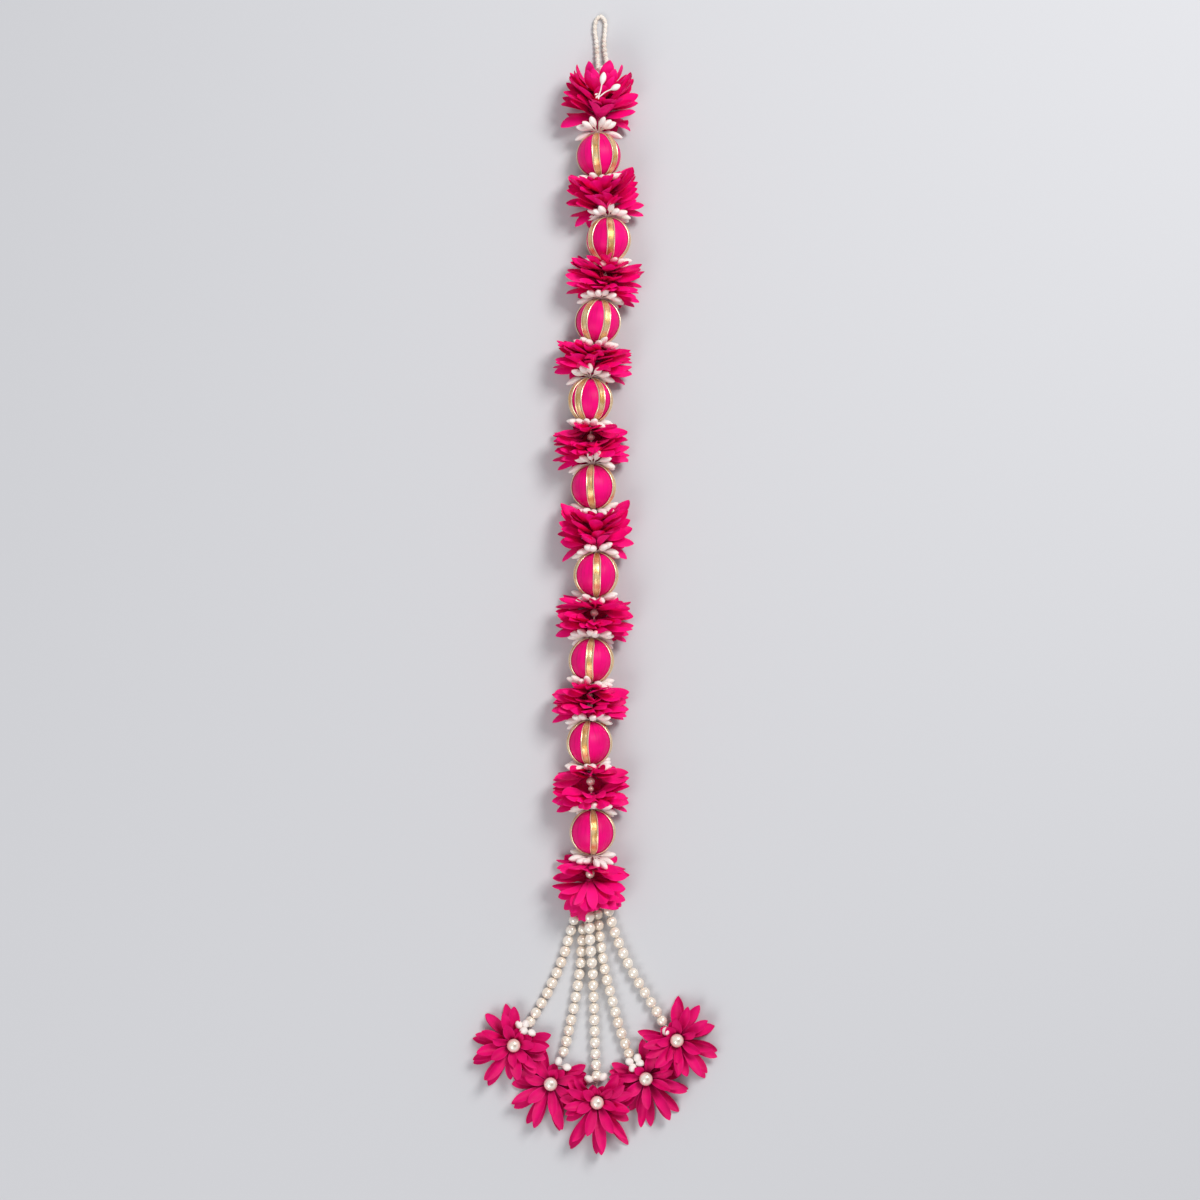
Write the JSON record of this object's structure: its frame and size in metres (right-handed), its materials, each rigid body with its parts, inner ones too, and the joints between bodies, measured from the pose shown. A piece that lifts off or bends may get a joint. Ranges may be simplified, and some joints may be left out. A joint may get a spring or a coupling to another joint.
{
  "type": "marigold garland",
  "caption": "Hanging garland of layered magenta fabric flowers and silk balls under gold ribbons, with white buds, pearl strands and a knotted cord loop.",
  "frame": {"origin": "on the surface that the garland lies on, under the middle of its outline", "axes": "+Y runs up the garland towards its hanging loop, +X to the right as seen from above, +Z away from the surface"},
  "size_m": [0.1847, 0.8602, 0.0463],
  "materials": {
    "petal": "matte fabric over thin foam",
    "silk": "soft silk sheen, gathered",
    "gold_ribbon": "lustrous metallic weave",
    "bud": "matte warm white",
    "pearl": "glossy pearl coat",
    "cord": "matte twisted thread"
  },
  "bodies": {
    "root": {"hanging_loop": "cord", "main_string": "pearl", "top_buds": "bud", "flower_1": "petal", "flower_2": "petal", "flower_3": "petal", "flower_4": "petal", "flower_5": "petal", "flower_6": "petal", "flower_7": "petal", "flower_8": "petal", "flower_9": "petal", "flower_10": "petal", "ball_1": "silk", "gold_trim_1": "gold_ribbon", "buds_above_ball_1": "bud", "buds_below_ball_1": "bud", "ball_2": "silk", "gold_trim_2": "gold_ribbon", "buds_above_ball_2": "bud", "buds_below_ball_2": "bud", "ball_3": "silk", "gold_trim_3": "gold_ribbon", "buds_above_ball_3": "bud", "buds_below_ball_3": "bud", "ball_4": "silk", "gold_trim_4": "gold_ribbon", "buds_above_ball_4": "bud", "buds_below_ball_4": "bud", "ball_5": "silk", "gold_trim_5": "gold_ribbon", "buds_above_ball_5": "bud", "buds_below_ball_5": "bud", "ball_6": "silk", "gold_trim_6": "gold_ribbon", "buds_above_ball_6": "bud", "buds_below_ball_6": "bud", "ball_7": "silk", "gold_trim_7": "gold_ribbon", "buds_above_ball_7": "bud", "buds_below_ball_7": "bud", "ball_8": "silk", "gold_trim_8": "gold_ribbon", "buds_above_ball_8": "bud", "buds_below_ball_8": "bud", "ball_9": "silk", "gold_trim_9": "gold_ribbon", "buds_above_ball_9": "bud", "buds_below_ball_9": "bud", "pearl_strand_1": "pearl", "tip_flower_1": "petal", "pearl_strand_2": "pearl", "tip_flower_2": "petal", "pearl_strand_3": "pearl", "tip_flower_3": "petal", "pearl_strand_4": "pearl", "tip_flower_4": "petal", "pearl_strand_5": "pearl", "tip_flower_5": "petal"}
  },
  "joints": []
}
